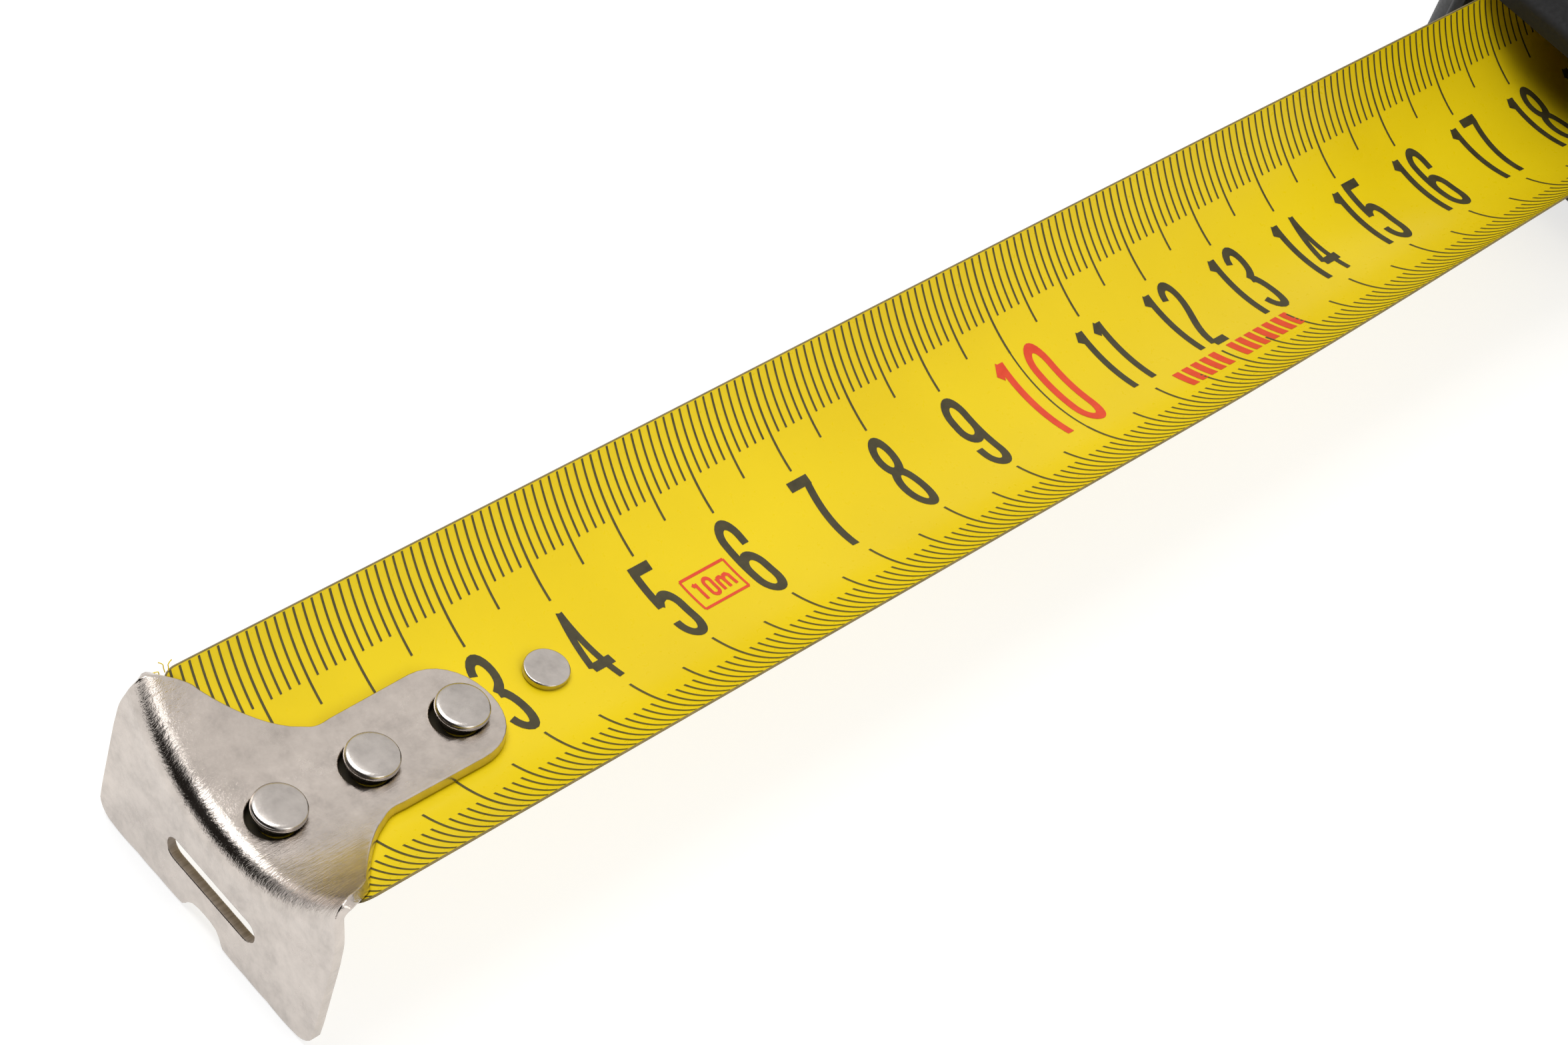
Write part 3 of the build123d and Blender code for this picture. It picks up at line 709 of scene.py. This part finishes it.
# how close to the bend: 1 on it, 0 by 7 mm along the tongue or 2.3 mm down the face
crease = bm.verts.layers.float.new("crease")
for v in bm.verts:
    away = v.co.x - BEND_X if v.co.x > BEND_X else (BEND_X - BEND_L - v.co.x) * 3.0
    v[crease] = 1.0 - min(max(away / 7.0, 0.0), 1.0)
    v.co = fold(v.co.x, v.co.y, v.co.z)
bmesh.ops.recalc_face_normals(bm, faces=bm.faces)
for f in bm.faces:
    f.smooth = True
sharpen(bm, 0.7)
hook_me = bpy.data.meshes.new("end_hook_formed")
bm.to_mesh(hook_me)
bm.free()
hook_me.materials.append(M_HOOK)
hook_me.materials.append(M_CUT)
hook = bpy.data.objects.new("end_hook_formed", hook_me)
bpy.context.scene.collection.objects.link(hook)
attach(hook, "hook")
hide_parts("end_hook")

# rivets: low heads with a rolled edge, shank, and a small foot under the blade
HEAD = [(0.0, 0.93), (0.8, 0.923), (1.5, 0.90), (2.0, 0.86), (2.28, 0.815), (2.43, 0.73), (2.49, 0.58)]
HEAD += [(2.5, 0.34), (2.49, 0.16), (2.44, 0.05), (2.34, 0.0), (1.8, 0.0)]
FOOT = [(1.8, 0.55), (2.3, 0.5), (2.42, 0.3), (2.3, 0.1), (1.9, 0.01), (0.0, 0.01)]
SEG = 56
for i in (1, 2, 3):
    low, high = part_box("hook_rivet_" + str(i))
    cx, cy = (low[0] + high[0]) / 2, (low[1] + high[1]) / 2
    prof = [(r * MM, high[2] - (0.95 - z) * MM) for r, z in HEAD]
    prof += [(r * MM, low[2] + z * MM) for r, z in FOOT]
    rv, rf = [], []
    for r, z in prof:
        for k in range(SEG):
            a = 2 * math.pi * k / SEG
            rv.append((cx + r * math.cos(a), cy + r * math.sin(a), z))
    for j in range(len(prof) - 1):
        for k in range(SEG):
            a, b = j * SEG + k, j * SEG + (k + 1) % SEG
            rf.append((a, a + SEG, b + SEG, b))
    head = make_object("rivet_head_" + str(i), rv, rf, [M_RIVET])
    bm = bmesh.new()
    bm.from_mesh(head.data)
    bmesh.ops.remove_doubles(bm, verts=bm.verts, dist=1e-7)
    bmesh.ops.recalc_face_normals(bm, faces=bm.faces)
    sharpen(bm, 0.9)
    bm.to_mesh(head.data)
    bm.free()
    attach(head, "blade")
    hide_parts("hook_rivet_" + str(i))

# loose strands of coating at the blade's far corner
strands = bpy.data.curves.new("coating_strands", "CURVE")
strands.dimensions = "3D"
strands.bevel_depth = 0.05 * MM
strands.bevel_resolution = 1
STRAND = ((0, 0, 0), (0.16, 0.15, 0.35), (0.08, 0.35, 0.75), (1.0, 0.45, 1.0))
for lean, rise, reach in ((0.0, 1.1, -0.5), (0.35, 0.8, 0.5), (-0.5, 0.5, -0.9)):
    bx, by, bz = on_blade(BLADE_START + 0.5 + lean, BLADE_HALF - 0.15)
    sp = strands.splines.new("NURBS")
    sp.points.add(3)
    for point, (dx, dy, dz) in zip(sp.points, STRAND):
        point.co = (bx + dx * reach * MM, by + dy * rise * MM, bz + dz * rise * MM, 1)
    sp.order_u = 3
    sp.use_endpoint_u = True
strand_ob = bpy.data.objects.new("coating_strands", strands)
bpy.context.scene.collection.objects.link(strand_ob)
strands.materials.append(M_YELLOW)
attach(strand_ob, "blade")

# painted shade: dark rings on the blade round each rivet shank, standing in for the shadow in the slack of the
# hook's holes under the heads
# near-black ink for the painted shade under the rivet heads
M_RIVET_SHADE = ink("rivet_painted_shade", (0.018, 0.014, 0.008), (0.05, 0.038, 0.014), 0.7)
for i, x in enumerate(RIVET_X):
    gv, gf = [], []
    for r, lift in ((1.82, 0.05), (2.2, 0.06), (2.75, 0.05), (3.0, 0.02)):
        for k in range(32):
            a = 2 * math.pi * k / 32
            rag = r * (1 + 0.03 * math.sin(3 * a + i) * (r > 2.3))
            gv.append(on_blade(x + rag * math.cos(a) - 0.2 * (r > 2), rag * math.sin(a) - 0.1, lift))
    for j in range(3):
        for k in range(32):
            a, b = j * 32 + k, j * 32 + (k + 1) % 32
            gf.append((a, b, b + 32, a + 32))
    shade_ring = make_object("rivet_painted_shade_" + str(i + 1), gv, gf, [M_RIVET_SHADE])
    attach(shade_ring, "blade")

# ---------------------------------------------------------------- floor, light, camera
floor_m, ft, fb = new_mat("floor_white")
fv = object_coords(ft)
pale = ramp(ft, noise(ft, fv, 12, 2.0), [(0.3, (0.36, 0.36, 0.36)), (0.7, (0.4, 0.4, 0.4))])
ft.links.new(pale, fb.inputs["Base Color"])
fb.inputs["Roughness"].default_value = 0.9
fb.inputs["Emission Color"].default_value = (1, 1, 1, 1)
fb.inputs["Emission Strength"].default_value = 0.72
floor = make_object(
    "floor", [(-4, -4, 0), (4, -4, 0), (4, 4, 0), (-4, 4, 0)], [(0, 1, 2, 3)], [floor_m], smooth=False
)

world = bpy.data.worlds.new("studio")
bpy.context.scene.world = world
world.use_nodes = True
wt = world.node_tree
bg = next(n for n in wt.nodes if n.type == "BACKGROUND")
sky = node(wt, "ShaderNodeTexCoord", -900, 0)
along = node(wt, "ShaderNodeVectorMath", -700, 0, operation="DOT_PRODUCT")
along.inputs[1].default_value = (-0.95, 0.1, 0.2)
wt.links.new(sky.outputs["Generated"], along.inputs[0])
# a pale tent, brighter over the case, open and dark beyond the hook
TENT = [
    (0.0, (0.9, 0.88, 0.86)),
    (0.2, (0.78, 0.775, 0.77)),
    (0.38, (0.74, 0.74, 0.75)),
    (0.54, (0.022, 0.02, 0.018)),
]
wt.links.new(
    ramp(wt, along.outputs["Value"], TENT),
    bg.inputs["Color"],
)
bg.inputs["Strength"].default_value = 1.0


def area(name, at, to, size, size_y, power):
    """Soft box at a point, facing another."""
    li = bpy.data.lights.new(name, "AREA")
    li.energy = power
    li.shape = "RECTANGLE"
    li.size = size
    li.size_y = size_y
    ob = bpy.data.objects.new(name, li)
    bpy.context.scene.collection.objects.link(ob)
    d = Vector(to) - Vector(at)
    ob.matrix_world = Matrix.Translation(at) @ d.to_track_quat("-Z", "Y").to_matrix().to_4x4()


NEAR_HOOK = (HOOK_X * MM + 0.06, 0, 0)
area("key", (HOOK_X * MM - 0.04, 0.33, 0.83), NEAR_HOOK, 0.42, 0.62, 4.05)
area("side", (HOOK_X * MM - 0.02, -0.8, 0.46), NEAR_HOOK, 0.34, 0.8, 1.5)

FOCAL, IMAGE_WIDE, SENSOR = 5927.0, 2352.0, 36.0  # focal length and width of the image in its own units
cam_data = bpy.data.cameras.new("camera")
cam_data.sensor_width = SENSOR
cam_data.lens = FOCAL * SENSOR / IMAGE_WIDE
cam_data.clip_start = 0.01
cam_data.clip_end = 20.0
cam = bpy.data.objects.new("camera", cam_data)
bpy.context.scene.collection.objects.link(cam)
fwd = Vector((0.57911, 0.36459, -0.72918)).normalized()
right = Vector((0.7149011, -0.6570152, 0.2392643)).normalized()
up = right.cross(fwd).normalized()
rot = Matrix((right, up, -fwd)).transposed()
place = Vector(((HOOK_X - 145.98) * MM, -131.72 * MM, (TROUGH_Z + 266.7) * MM))
cam.matrix_world = Matrix.Translation(place) @ rot.to_4x4()
bpy.context.scene.camera = cam

bpy.context.scene.view_settings.view_transform = "Standard"
bpy.context.scene.view_settings.look = "None"
bpy.context.scene.view_settings.exposure = 0.0
